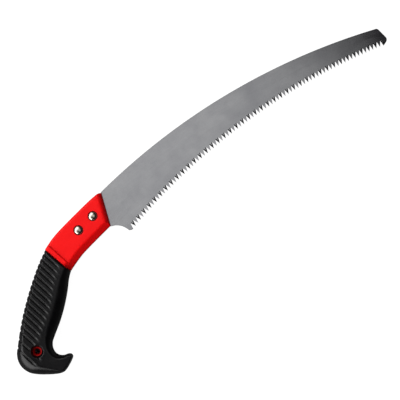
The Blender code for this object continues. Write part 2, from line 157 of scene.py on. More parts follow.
# Rubber grip
GRIP_HALF = 13.0
SEAM_HALF = 0.6
GRIP_END_HALF = 10.4
GRIP_END_ROLL = 2.8
GROOVE_TILT = radians(3.2)
FIRST_GROOVE = -65.9
GROOVE_PITCH = 5.49
EVEN_GROOVES = 15
WIDE_GROOVE_PITCH = 7.5
WIDE_GROOVES = 2
GROOVE_DEPTH = 1.2
GROOVE_HALF_WIDTH = 1.45
GROOVE_FLOOR = 0.25
GROOVE_RUN_OUT = 10.0
SPINE_HALF = 8.0
SPINE_FILL = 0.45
WIDE_GROOVE_END_Y = -72.5
GROOVE_END_LINE = ((-62.0, -14.5), (-80.0, -23.3), (-105.0, -41.0), (-143.0, -58.5))
GRIP_LINE = (
    (-61.7, 10.7, 4),
    (-76.5, 5.4, 4.2),
    (-92, -1.6, 4.2),
    (-110, -11, 4.2),
    (-129, -22.2, 4.2),
    (-143, -31.8, 5),
    (-156, -41.6, 7),
    (-163, -47.2, 11),
    (-167.6, -54.2, 13.5),
    (-169.2, -62.4, 14.5),
    (-167.4, -70.9, 14.5),
    (-162.8, -77.9, 12),
    (-154, -87, 8.5),
    (-147, -93, 5.5),
    (-143.6, -95.2, 4),
    (-139.6, -96.7, 3),
    (-135, -96.3, 2.5),
    (-124.3, -93, 2.2),
    (-121.6, -91.3, 2),
    (-121.2, -88.4, 2),
    (-123.3, -85.9, 2.2),
    (-127.6, -83.8, 3),
    (-131, -80, 4.5),
    (-132.1, -75.6, 5.5),
    (-130.7, -70.2, 7),
    (-126.4, -65.2, 9),
    (-119.6, -61.7, 11.5),
    (-104, -54.6, 14),
    (-89.2, -46.3, 14),
    (-75, -36.6, 13),
    (-67.5, -30.6, 11),
    (-62, -26.9, 9.5),
    (-58.7, -25.2, 9),
)

# Lanyard hole
LANYARD = np.array((-144.6, -60.7))
WINDOW_RADIUS = 6.5
WINDOW_FOOT_RADIUS = 4.8
WINDOW_ROUND = 0.9
LANYARD_RADIUS = 3.1
MOUTH_RADIUS = 4.7
MOUTH_DEPTH = 3.0
MOUTH_LIP = 0.4

# Painted shade: how far it reaches from a middle in millimetres, and its share of the colour
RECESS_PAINTED_SHADE = (5.2, 0.85)
HOLE_PAINTED_SHADE = (8.0, 0.68)
PAINTED_SHADE_FADE = 0.3
TIP_PAINTED_SHADE_FROM_TIP = (24.0, 2.0)
TIP_PAINTED_SHADE_SHARE = 0.72

# Stage
VIEW_CENTRE = (93.5, -69.2)
VIEW_WIDTH = 430.4
LENS = 200.0
SENSOR = 36.0
CLIP = (0.05, 100)
FLOOR_RADIUS = 12.0
FLOOR_GLOW = 0.98
GLOW_START = 14.0
GLOW_FADE = 2.0
BACK_LIGHT = ("back", (-0.05, 0, 0), 102, 51, 1.5, (1.55, 1.1), 18)
SIDE_LIGHT = ("side", (-0.12, 0, 0), 174, 32, 1.3, (1.3, 0.9), 16.5)
CARD_X = (-0.22, 0.355)
CARD_DEPTH = 0.7
CARD_HEIGHT = 1.2
CARD_POWER = 1.22
CARD_ACROSS = (0.85, 1.1)
CARD_STOPS = (
    (0.0, 0.92),
    (0.3, 1.0),
    (0.5, 0.92),
    (0.72, 0.80),
    (0.87, 0.70),
    (0.95, 0.3),
    (1.0, 0.0),
)
SKY_STOPS = ((0.0, 0.07), (0.3, 0.06), (0.75, 0.0))

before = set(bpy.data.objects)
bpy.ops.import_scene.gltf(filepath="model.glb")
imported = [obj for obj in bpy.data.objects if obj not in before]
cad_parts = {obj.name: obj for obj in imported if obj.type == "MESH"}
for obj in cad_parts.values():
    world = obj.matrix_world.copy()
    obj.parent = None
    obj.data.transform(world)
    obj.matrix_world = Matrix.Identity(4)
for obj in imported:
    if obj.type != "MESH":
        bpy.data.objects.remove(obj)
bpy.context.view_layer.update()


def middle_of(node):
    low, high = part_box(node)
    return (low + high) / 2


ORIGIN = Vector((*middle_of("front_rivet_post").xy, middle_of("blade").z))


# Curves


def spline(points, spans, closed=False):
    """Points on a centripetal Catmull-Rom curve through the given ones."""
    known = [np.array(p, float) for p in points]
    count = len(known)
    found = []
    for i in range(count if closed else count - 1):
        p1 = known[i]
        p2 = known[(i + 1) % count]
        p0 = known[i - 1] if closed or i > 0 else 2 * p1 - p2
        p3 = known[(i + 2) % count] if closed or i + 2 < count else 2 * p2 - p1
        t1 = np.linalg.norm(p1 - p0) ** 0.5
        t2 = t1 + np.linalg.norm(p2 - p1) ** 0.5
        t3 = t2 + np.linalg.norm(p3 - p2) ** 0.5
        for k in range(spans):
            t = t1 + (t2 - t1) * k / spans
            a1 = p0 + (p1 - p0) * t / t1
            a2 = p1 + (p2 - p1) * (t - t1) / (t2 - t1)
            a3 = p2 + (p3 - p2) * (t - t2) / (t3 - t2)
            b1 = a1 + (a2 - a1) * t / t2
            b2 = a2 + (a3 - a2) * (t - t1) / (t3 - t1)
            found.append(b1 + (b2 - b1) * (t - t1) / (t2 - t1))
    if not closed:
        found.append(known[-1])
    return np.array(found)


def evenly(line, spacing):
    """An open line again, with points at equal distances along it. Extra columns follow."""
    steps = np.linalg.norm(np.diff(line[:, :2], axis=0), axis=1)
    along = np.concatenate(([0], np.cumsum(steps)))
    places = np.linspace(0, along[-1], max(2, round(along[-1] / spacing) + 1))
    return np.stack([np.interp(places, along, column) for column in line.T], axis=1)


def arc(centre, radius, start, end, steps):
    """Points on a circle, from one angle to another, in radians from +X."""
    angles = np.linspace(start, end, steps + 1)
    return [centre + radius * np.array((cos(a), sin(a))) for a in angles]


def circle(centre, radius, spacing):
    steps = round(2 * pi * radius / spacing)
    return np.array(arc(np.array(centre, float), radius, 0, 2 * pi, steps))[:-1]


def inward(outline):
    """The unit normal into a counter-clockwise outline at each of its points."""
    along = np.roll(outline[:, :2], -1, axis=0) - np.roll(outline[:, :2], 1, axis=0)
    normal = np.stack((-along[:, 1], along[:, 0]), axis=1)
    return normal / np.linalg.norm(normal, axis=1)[:, None]


def smoothstep(value):
    value = np.clip(value, 0, 1)
    return value * value * (3 - 2 * value)


def soft_min(a, b, width):
    """The lesser of two heights, with the crease between them rounded over this width."""
    share = np.clip(0.5 + (b - a) / (2 * width), 0, 1)
    return b + (a - b) * share - width * share * (1 - share)


def rounded(distance, width):
    """0 to 1 over the width, as a quarter ellipse that is steep at its start."""
    share = 1 - np.clip(distance / width, 0, 1)
    return np.sqrt(1 - share * share)


def distance_to(line, points):
    """Distances from points to a polyline, and the place of the nearest point along it."""
    start, end = line[:-1, :2], line[1:, :2]
    run = end - start
    length2 = (run**2).sum(axis=1)
    best = np.full(len(points), np.inf)
    place = np.zeros(len(points))
    for low in range(0, len(points), 4000):
        part = points[low : low + 4000, None, :2]
        share = np.clip(((part - start) * run).sum(axis=2) / length2, 0, 1)
        gap = np.linalg.norm(part - (start + run * share[..., None]), axis=2)
        nearest = gap.argmin(axis=1)
        rows = np.arange(len(nearest))
        best[low : low + 4000] = gap[rows, nearest]
        place[low : low + 4000] = nearest + share[rows, nearest]
    return best, place


def within(outline, points):
    """Whether each point lies inside a closed outline."""
    start, end = outline, np.roll(outline, -1, axis=0)
    inside = np.zeros(len(points), bool)
    for (x1, y1), (x2, y2) in zip(start[:, :2], end[:, :2]):
        crosses = (y1 > points[:, 1]) != (y2 > points[:, 1])
        with np.errstate(divide="ignore", invalid="ignore"):
            at = x1 + (points[:, 1] - y1) / (y2 - y1) * (x2 - x1)
        inside ^= crosses & (points[:, 0] < at)
    return inside


def at_height(outline, height):
    """An outline as a ring of points with one height, or with a height for each point."""
    return np.column_stack((outline, np.broadcast_to(height, len(outline))))


# Objects


def new_object(name, points, faces, smooth_angle=None):
    """A mesh object from points in millimetres around the front rivet."""
    mesh = bpy.data.meshes.new(name)
    world = np.array(points, float) * MM + np.array(ORIGIN)
    mesh.from_pydata(world.tolist(), [], faces)
    made = bpy.data.objects.new(name, mesh)
    bpy.context.scene.collection.objects.link(made)
    outward(made)
    if smooth_angle is not None:
        shade(made, smooth_angle)
    return made


def outward(piece):
    work = bmesh.new()
    work.from_mesh(piece.data)
    bmesh.ops.recalc_face_normals(work, faces=work.faces)
    work.to_mesh(piece.data)
    work.free()


def shade(piece, angle):
    piece.data.shade_smooth()
    piece.data.set_sharp_from_angle(angle=radians(angle))


def cut(target, *tools, operation="DIFFERENCE"):
    """Applies exact Booleans with these tools, and removes the tools."""
    for tool in tools:
        modifier = target.modifiers.new(tool.name, "BOOLEAN")
        modifier.operation = operation
        modifier.solver = "EXACT"
        modifier.object = tool
    graph = bpy.context.evaluated_depsgraph_get()
    mesh = bpy.data.meshes.new_from_object(target.evaluated_get(graph))
    target.modifiers.clear()
    target.data = mesh
    for tool in tools:
        bpy.data.objects.remove(tool)


def stacked(rings):
    """A solid through closed rings of equal length, with a cap on each end."""
    size = len(rings[0])
    points = [p for ring in rings for p in ring]
    faces = []
    for level in range(len(rings) - 1):
        low = level * size
        for i in range(size):
            j = (i + 1) % size
            faces.append((low + i, low + j, low + size + j, low + size + i))
    faces.append(tuple(range(size))[::-1])
    faces.append(tuple(range(len(points) - size, len(points))))
    return points, faces


def prism(outline, low, high):
    return stacked([[(x, y, z) for x, y in outline] for z in (low, high)])


def bore(x, low, high, sides):
    """The clearance around a rivet's shank, as a tool that runs between two heights."""
    radius = SHANK_RADIUS + SEAT_GAP
    profile = ((0, low), (radius, low), (radius, high), (0, high))
    return new_object("bore", *turned(profile, sides, (x, 0)))


def hand_over(piece, node, slot, *materials):
    """Gives a piece its materials, and puts it in the place of a CAD node."""
    for material in materials:
        piece.data.materials.append(material)
    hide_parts(node)
    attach(piece, "root")


def turned(profile, segments, centre=(0, 0)):
    """A round solid about Z. The profile is (radius, z) from one pole to the other."""
    points = []
    rings = []
    for radius, z in profile:
        if radius == 0:
            rings.append([len(points)])
            points.append((*centre, z))
            continue
        rings.append(range(len(points), len(points) + segments))
        for i in range(segments):
            angle = 2 * pi * i / segments
            x, y = centre[0] + radius * cos(angle), centre[1] + radius * sin(angle)
            points.append((x, y, z))
    faces = []
    for low, high in zip(rings, rings[1:]):
        for i in range(segments):
            j = (i + 1) % segments
            corners = [low[i % len(low)], low[j % len(low)]]
            corners += [high[j % len(high)], high[i % len(high)]]
            faces.append(tuple(dict.fromkeys(corners)))
    return points, faces


def flat_mesh(outline, holes, inner):
    """Triangles that fill an outline, keep out of the holes, and use every inner point."""
    loops = [outline, *holes]
    points = np.concatenate([*loops, inner])
    edges = []
    start = 0
    for loop in loops:
        size = len(loop)
        edges += [(start + i, start + (i + 1) % size) for i in range(size)]
        start += size
    flat, _, faces, *_ = geometry.delaunay_2d_cdt([Vector(p) for p in points], edges, [], 1, 1e-6)
    flat = np.array([tuple(p) for p in flat])
    faces = np.array([tuple(f) for f in faces])
    centres = flat[faces].mean(axis=1)
    for hole in holes:
        middle = hole.mean(axis=0)
        radius = np.linalg.norm(hole[0] - middle)
        keep = np.linalg.norm(centres - middle, axis=1) > radius
        faces, centres = faces[keep], centres[keep]
    return flat, faces


def border_loops(faces):
    """The closed borders of a triangle mesh, each as a list of point numbers in order."""
    edges = np.concatenate([faces[:, [0, 1]], faces[:, [1, 2]], faces[:, [2, 0]]])
    known = set(map(tuple, edges.tolist()))
    following = {a: b for a, b in known if (b, a) not in known}
    loops = []
    while following:
        first = next(iter(following))
        loop = [first]
        while following[loop[-1]] != first:
            loop.append(following[loop[-1]])
        for point in loop:
            del following[point]
        loops.append(loop)
    return loops


def two_sided(flat, faces, top, bottom, levels):
    """A solid between two heights over one flat mesh. Levels are the shares between them at
    which the walls on its borders have extra rings."""
    count = len(flat)
    points = np.concatenate([at_height(flat, top), at_height(flat, bottom)]).tolist()
    solid = faces.tolist() + (faces[:, ::-1] + count).tolist()
    for loop in border_loops(faces):
        rings = [loop]
        for share in levels:
            rings.append(range(len(points), len(points) + len(loop)))
            points += [[*flat[i], top[i] + (bottom[i] - top[i]) * share] for i in loop]
        rings.append([i + count for i in loop])
        for upper, lower in zip(rings, rings[1:]):
            for i in range(len(loop)):
                j = (i + 1) % len(loop)
                solid.append((upper[j], upper[i], lower[i], lower[j]))
    return points, solid


def ring_points(outline, widths, steps):
    """Points on curves just inside an outline, closer together near it, where its side rounds
    over."""
    normal = inward(outline)
    found = []
    for angle in np.linspace(0, pi / 2, steps + 1)[1:]:
        inset = widths * (1 - cos(angle))
        candidates = outline[:, :2] + normal * inset[:, None]
        closed = np.vstack((outline[:, :2], outline[:1, :2]))
        gap, _ = distance_to(closed, candidates)
        found.append(candidates[(gap > inset * 0.96) & (inset < RING_REACH)])
    return np.concatenate(found)


def grid_points(low, high, step_x, step_y, tilt=0.0):
    """A grid whose columns lean by the tilt, with every second row shifted by half a step."""
    xs = np.arange(low[0], high[0], step_x)
    ys = np.arange(low[1], high[1], step_y)
    x, y = np.meshgrid(xs, ys)
    x = x + (np.arange(len(ys)) % 2)[:, None] * step_x / 2
    return np.column_stack((x.ravel() - y.ravel() * tan(tilt), y.ravel()))


# Blade


def on_tooth_row(along, above):
    """A point by its distance along the row of tooth tips and its height above it."""
    angle = along / TOOTH_ROW_RADIUS
    return TOOTH_ROW_CENTRE + (TOOTH_ROW_RADIUS + above) * np.array((sin(angle), cos(angle)))


def tooth_place(index):
    """The distance of a tooth's tip along the row. The pitch grows a little toward the heel."""
    gaps = TOOTH_COUNT - 1
    t = index / gaps
    return FIRST_TOOTH + gaps * (TOOTH_PITCH * t + HEEL_PITCH_GAIN * (1 - (1 - t) ** 3) / 3)


def tooth_outline(index, ground):
    """A tooth's flanks on one face of the blade. A ground face lies inside the sharp one."""
    tip = tooth_place(index)
    before = (tip - tooth_place(index - 1)) / 2 - GULLET_WIDTH / 2
    after = (tooth_place(index + 1) - tip) / 2 - GULLET_WIDTH / 2
    slope = atan((before + after) / 2 / TOOTH_HEIGHT)
    if ground:
        top = TOOTH_HEIGHT + FACET_RISE
        side = (top - FACET_WIDTH * sin(slope)) * tan(slope) - FACET_WIDTH * cos(slope)
        corners = [(-side, top), (0, FACET_WIDTH / sin(slope)), (side, top)]
    else:
        corners = [(-before, TOOTH_HEIGHT), (0, 0), (after, TOOTH_HEIGHT)]
    return [on_tooth_row(tip + x + y * tan(TOOTH_LEAN), y) for x, y in corners]


def back_y(x):
    return BACK_CENTRE[1] + (BACK_RADIUS**2 - (x - BACK_CENTRE[0]) ** 2) ** 0.5


def blade_tip():
    """From the last tooth up the blunt end to where the back begins."""
    low = [np.array((355.6, -90.4)), np.array((357.6, -89.3)), np.array((TIP_X, -87.2))]
    inner = BACK_RADIUS - TIP_CORNER
    x = TIP_X - TIP_CORNER
    corner = np.array((x, BACK_CENTRE[1] + (inner**2 - (x - BACK_CENTRE[0]) ** 2) ** 0.5))
    rise = atan2(*(corner - BACK_CENTRE)[::-1])
    return list(spline(low, 6)) + arc(corner, TIP_CORNER, 0, rise, 12)


def blade_back():
    xs = np.linspace(TIP_X - 12, FRONT_BACK[0] + 2, BACK_POINTS)
    return [np.array((x, back_y(x))) for x in xs]


def blade_heel():
    """The concave edge in front of the neck, then the blunt nub up to the first gullet."""
    before = tooth_place(-1)
    nub = spline((HEEL_LINE[-1], (17.6, -39.2), (19.1, -40.0), on_tooth_row(before, 0)), 5)
    gullet = (before + tooth_place(0) - GULLET_WIDTH) / 2 + TOOTH_HEIGHT * tan(TOOTH_LEAN)
    root = on_tooth_row(gullet, TOOTH_HEIGHT)
    return list(spline(HEEL_LINE, 12)[:-1]) + list(nub) + [root]


def blade_rings():
    """The blade's outline at four levels. Its blunt edges are broken, and its teeth are ground
    from the near face on even teeth and from the far face on odd ones."""
    blunt_start = blade_heel()
    blunt_end = blade_tip() + blade_back() + [np.array(p, float) for p in TANG_LINE]
    outlines = []
    for near in (False, True):
        teeth = []
        for index in range(TOOTH_COUNT):
            flanks = tooth_outline(index, ground=(index % 2 == 0) == near)
            teeth += flanks[:2] if index == TOOTH_COUNT - 1 else flanks
        outlines.append(np.array(blunt_start + teeth + blunt_end))
    blunt = np.ones(len(outlines[0]))
    blunt[len(blunt_start) - 1 : -len(blunt_end)] = 0
    inset = inward(outlines[0]) * (blunt * EDGE_BREAK)[:, None]
    wall = BLADE_HALF - np.maximum(EDGE_BREAK * blunt, RING_GAP)
    far, near = outlines
    nudge = (near - far) * (RING_GAP * (1 - blunt))[:, None]
    return [
        at_height(far + inset, -BLADE_HALF),
        at_height(far + nudge, -wall),
        at_height(near - nudge, wall),
        at_height(near + inset, BLADE_HALF),
    ]


def add_blade(steel, ground_steel):
    blade = new_object("blade_plate", *stacked(blade_rings()))
    for x in RIVET_X:
        cut(blade, bore(x, -TOOL_PAST, TOOL_PAST, BLADE_BORE_SIDES))
    blade.data.materials.append(steel)
    blade.data.materials.append(ground_steel)
    centre = np.array((*TOOTH_ROW_CENTRE, 0)) * MM + np.array(ORIGIN)
    reach = (TOOTH_ROW_RADIUS + TOOTH_HEIGHT + FACET_RISE + GROUND_REACH) * MM
    row_start = (FIRST_TOOTH + TOOTH_ROW_CENTRE[0] - GROUND_START) * MM + ORIGIN.x
    for face in blade.data.polygons:
        middle = np.array(face.center)
        in_row = hypot(*(middle - centre)[:2]) < reach
        past_heel = middle[0] > row_start
        face.material_index = int(in_row and past_heel and abs(face.normal.z) < 0.99)
    hand_over(blade, "blade", "blade_steel")


# Neck and core


def neck_outline():
    back = evenly(spline(NECK_BACK_LINE, 20), LINE_STEP)
    belly = evenly(spline(NECK_BELLY_LINE, 20), LINE_STEP)
    front = evenly(np.array((FRONT_BACK, FRONT_BELLY)), LINE_STEP)
    rear = evenly(np.array((NECK_BACK_LINE[0], NECK_BELLY_LINE[0])), LINE_STEP)
    return back, belly, front, rear


def neck_height(points, back, belly, front, rear):
    """How far each point of the neck's side stands from the middle plane."""
    to_back, _ = distance_to(back, points)
    to_belly, _ = distance_to(belly, points)
    to_front, _ = distance_to(front, points)
    to_rear, _ = distance_to(rear, points)
    across = points[:, 0] * cos(GROOVE_TILT) + points[:, 1] * sin(GROOVE_TILT)
    raised = 1 - smoothstep((across - COLLAR_EDGE) / COLLAR_STEP + 0.5)
    top = NECK_HALF + COLLAR_RISE * raised
    rise = (NECK_HALF - BELLY_HALF) / BELLY_WIDTH
    lip = BELLY_LIP_ROUND * (1 - rounded(to_belly, BELLY_LIP_ROUND))
    bevel = BELLY_HALF + rise * to_belly + BELLY_LIP_ROUND - lip
    height = soft_min(top, bevel, SOFT_CREASE)
    nose = LIP_HALF + (NECK_HALF - LIP_HALF) * rounded(to_front, FRONT_WIDTH)
    nose = np.where(to_front < FRONT_WIDTH, nose, COLLAR_RISE + NECK_HALF)
    with_nose = soft_min(height, nose, SOFT_CREASE / 3)
    height = np.where(to_front < 3 * FRONT_WIDTH, with_nose, height)
    height = height - BACK_ROUND * (1 - rounded(to_back, BACK_ROUND))
    height = height - COLLAR_END_ROUND * (1 - rounded(to_rear, COLLAR_END_ROUND))
    for x in RIVET_X:
        out = np.hypot(points[:, 0] - x, points[:, 1]) - RECESS_RADIUS
        edge = NECK_HALF - RECESS_ROUND * (1 - rounded(out, RECESS_ROUND))
        height = np.where(out < RECESS_ROUND, np.minimum(height, edge), height)
        height = np.where(out < -1e-4, NECK_HALF - RECESS_DEPTH, height)
    return np.maximum(height, FRONT_RIM_HALF)


def recess_rings():
    """Circles around the edge of each rivet's recess, where the surface rounds over."""
    steps = (-1.5, -0.6, -0.05, 0.0, 0.06, 0.14, 0.24, 0.35, 0.7)
    return [circle((x, 0), RECESS_RADIUS + step, CIRCLE_STEP) for x in RIVET_X for step in steps]


def half_neck():
    lines = neck_outline()
    back, belly, front, rear = lines
    outline = np.concatenate([rear[:-1], belly[:-1], front[::-1][:-1], back[::-1][:-1]])
    widths = np.full(len(outline), NECK_RING_WIDTH)
    grid = grid_points(*NECK_GRID)
    gap, _ = distance_to(np.vstack((outline, outline[:1])), grid)
    grid = grid[within(outline, grid) & (gap > NECK_RING_WIDTH + NECK_GRID_GAP)]
    for x in RIVET_X:
        out = np.hypot(grid[:, 0] - x, grid[:, 1]) - RECESS_RADIUS
        grid = grid[(out < -RECESS_GRID_GAPS[0]) | (out > RECESS_GRID_GAPS[1])]
    inner = np.concatenate([ring_points(outline, widths, 9), grid, *recess_rings()])
    flat, faces = flat_mesh(outline, [], inner)
    top = neck_height(flat, *lines)
    return two_sided(flat, faces, top, np.full(len(flat), HALVES_GAP), (0.5,))


def half_bar():
    """Half of the core inside the rubber."""
    outline = spline(BAR_LINE, 6, closed=True)
    normal = inward(outline)
    rings = [at_height(outline, HALVES_GAP)]
    for angle in np.linspace(0, pi / 2, 7):
        inset = normal * BAR_ROUND * (1 - cos(angle))
        rings.append(at_height(outline + inset, BAR_HALF - BAR_ROUND * (1 - sin(angle))))
    return stacked(rings)


def slot_solid():
    """The clearance around the part of the blade that the neck holds."""
    held = [blade_back()[-1], *TANG_LINE, HEEL_LINE[0]]
    ahead = [(10, -30), (40, -30), (40, back_y(40))]
    outline = np.array(held + ahead, float)
    outline = outline - inward(outline) * SEAT_GAP
    return prism(outline, -TOOL_PAST, BLADE_HALF + SEAT_GAP)


def lanyard_solid():
    """The cord hole through half of the core, with its wide conical mouth."""
    low, high = -TOOL_PAST, BAR_HALF + TOOL_PAST
    wall = [(LANYARD_RADIUS, low), (LANYARD_RADIUS, BAR_HALF - MOUTH_DEPTH)]
    lip = [(MOUTH_RADIUS - MOUTH_LIP, BAR_HALF - MOUTH_LIP)]
    lip += [(MOUTH_RADIUS - MOUTH_LIP * 0.4, BAR_HALF - MOUTH_LIP * 0.3)]
    lip += [(MOUTH_RADIUS, BAR_HALF), (MOUTH_RADIUS, high)]
    return turned([(0, low), *wall, *lip, (0, high)], LANYARD_SIDES, tuple(LANYARD))


def add_core(nylon):
    right = new_object("neck_and_core_right", *half_neck())
    cut(right, new_object("bar", *half_bar()), operation="UNION")
    tools = [new_object("slot", *slot_solid()), new_object("lanyard", *lanyard_solid())]
    tools += [bore(x, -TOOL_PAST, NECK_HALF + TOOL_PAST, CORE_BORE_SIDES) for x in RIVET_X]
    for tool in tools:
        cut(right, tool)
    left = right.copy()
    left.data = right.data.copy()
    left.name = "neck_and_core_left"
    bpy.context.scene.collection.objects.link(left)
    for vertex in left.data.vertices:
        vertex.co.z = 2 * ORIGIN.z - vertex.co.z
    for piece, node in ((right, "core_right"), (left, "core_left")):
        outward(piece)
        shade(piece, 40)
        hand_over(piece, node, "core_nylon", nylon)


# Rivets


def dome(underside):
    """A rivet head's profile, from its rim to its crown."""
    rim = underside + RIM_HEIGHT
    angles = np.linspace(0, pi / 2, 25)[:-1]
    foot = [(HEAD_RADIUS - RIM_BREAK, underside), (HEAD_RADIUS, underside + RIM_BREAK)]
    side = [(HEAD_RADIUS * cos(a), rim + DOME_HEIGHT * sin(a)) for a in angles]
    return [*foot, *side, (0, rim + DOME_HEIGHT)]


def add_rivets(nickel):
    seat = NECK_HALF - RECESS_DEPTH + SEAT_GAP
    post = [(0, POST_END), (SHANK_RADIUS, POST_END), (SHANK_RADIUS, seat), *dome(seat)]
    tube_end = POST_END - SEAT_GAP
    tube = [(0, tube_end), (SHANK_RADIUS, tube_end), (SHANK_RADIUS, -seat)]
    tube += [(radius, -z) for radius, z in dome(seat)]
    for place, x in zip(("front", "rear"), RIVET_X):
        for kind, profile in (("post", post), ("socket", tube)):
            turning = turned(profile, HEAD_SIDES, (x, 0))
            head = new_object(f"{place}_rivet_head_{kind}", *turning, smooth_angle=35)
            hand_over(head, f"{place}_rivet_{kind}", "rivet_metal", nickel)


# Grip


def groove_places():
    """Where each groove crosses the back, and the y at which it ends on the flat faces."""
    even = [FIRST_GROOVE - GROOVE_PITCH * i for i in range(EVEN_GROOVES)]
    ends = np.array(GROOVE_END_LINE)[::-1]
    places = [(x, np.interp(x, ends[:, 0], ends[:, 1])) for x in even]
    for i in range(WIDE_GROOVES):
        places.append((even[-1] - WIDE_GROOVE_PITCH * (i + 1), WIDE_GROOVE_END_Y))
    return places


def groove_depth(points, line):
    """How deep the grooves are at each point of the grip. They are shallower along the spine."""
    back = line[: np.argmin(line[:, 0])][::-1]
    run = np.array((sin(GROOVE_TILT), -cos(GROOVE_TILT)))
    side = np.array((cos(GROOVE_TILT), sin(GROOVE_TILT)))
    depth = np.zeros(len(points))
    for x, end_y in groove_places():
        start = np.array((x, np.interp(x, back[:, 0], back[:, 1])))
        off = np.abs((points[:, :2] - start) @ side)
        along = (points[:, :2] - start) @ run
        length = (start[1] - end_y) / cos(GROOVE_TILT)
        profile = smoothstep((GROOVE_HALF_WIDTH - off) / (GROOVE_HALF_WIDTH - GROOVE_FLOOR))
        fade = smoothstep((length - along) / GROOVE_RUN_OUT)
        depth = np.maximum(depth, profile * fade)
    clear = np.linalg.norm(points[:, :2] - LANYARD, axis=1) - WINDOW_RADIUS - WINDOW_ROUND / 2
    depth *= smoothstep(clear / WINDOW_ROUND)
    spine = 1 - smoothstep(np.abs(points[:, 2]) / SPINE_HALF)
    return depth * GROOVE_DEPTH * (1 - SPINE_FILL * spine)


def grip_height(points, line, end):
    """How far each point of the grip's side stands from the middle plane, without grooves."""
    gap, place = distance_to(line, points)
    widths = np.interp(place, np.arange(len(line)), line[:, 2])
    height = SEAM_HALF + (GRIP_HALF - SEAM_HALF) * rounded(gap, widths)
    to_end, _ = distance_to(end, points)
    rolled = GRIP_END_HALF + (GRIP_HALF - GRIP_END_HALF) * rounded(to_end, GRIP_END_ROLL)
    height = np.minimum(height, rolled)
    out = np.linalg.norm(points[:, :2] - LANYARD, axis=1) - WINDOW_RADIUS
    height = height - WINDOW_ROUND * (1 - rounded(out, WINDOW_ROUND))
    into = np.clip(-out / (WINDOW_RADIUS - WINDOW_FOOT_RADIUS), 0, 1)
    return height - (GRIP_HALF - WINDOW_ROUND - BAR_HALF - SEAT_GAP) * into


def window_rings():
    """Circles around the window, from its foot on the core out to the flat of the grip."""
    foot = np.linspace(WINDOW_FOOT_RADIUS, WINDOW_RADIUS, 6)[1:]
    lip = [WINDOW_RADIUS + WINDOW_ROUND * share for share in (0.03, 0.12, 0.3, 0.6, 1, 1.6)]
    return [circle(LANYARD, radius, CIRCLE_STEP) for radius in (*foot, *lip)]


def grip_mesh(line, end):
    """The grip's side as a flat mesh that is fine where the surface rounds over."""
    outline = np.vstack((line[:, :2], end[1:-1]))
    widths = np.concatenate((line[:, 2], np.full(len(end) - 2, GRIP_END_ROLL)))
    grid = grid_points(*GRIP_GRID, GROOVE_TILT)
    grid = grid[within(outline, grid)]
    gap, place = distance_to(np.vstack((outline, outline[:1])), grid)
    rounding = np.interp(place, np.arange(len(outline) + 1), np.append(widths, widths[0]))
    grid = grid[gap > np.minimum(rounding, RING_REACH) + GRIP_GRID_GAP]
    inner = np.concatenate((grid, ring_points(outline, widths, 16)))
    clear = np.linalg.norm(inner - LANYARD, axis=1) > WINDOW_RADIUS + WINDOW_ROUND * 1.9
    foot = circle(LANYARD, WINDOW_FOOT_RADIUS, CIRCLE_STEP)
    return flat_mesh(outline, [foot], np.concatenate([inner[clear], *window_rings()]))


def press_grooves(mesh, line):
    """Moves the surface inward along the grooves, and keeps how far as an attribute."""
    count = len(mesh.vertices)
    points = np.empty(count * 3)
    normals = np.empty(count * 3)
    mesh.vertices.foreach_get("co", points)
    mesh.vertices.foreach_get("normal", normals)
    local = (points.reshape(-1, 3) - np.array(ORIGIN)) / MM
    depth = groove_depth(local, line)
    moved = local - normals.reshape(-1, 3) * depth[:, None]
    mesh.vertices.foreach_set("co", (moved * MM + np.array(ORIGIN)).ravel())
    worn = mesh.attributes.new("groove", "FLOAT", "POINT")
    worn.data.foreach_set("value", (depth / GROOVE_DEPTH).astype(np.float32))
    mesh.update()


def add_grip(rubber):
    line = evenly(spline(GRIP_LINE, 24), GRIP_LINE_STEP)
    end = evenly(line[[-1, 0], :2], GRIP_LINE_STEP)
    flat, faces = grip_mesh(line, end)
    top = grip_height(flat, line, end)
    solid = two_sided(flat, faces, top, -top, GRIP_WALL_LEVELS)
    grip = new_object("grip_rubber_sleeve", *solid)
    press_grooves(grip.data, line)
    shade(grip, 50)
    hand_over(grip, "grip_sleeve", "grip_rubber", rubber)


# Materials


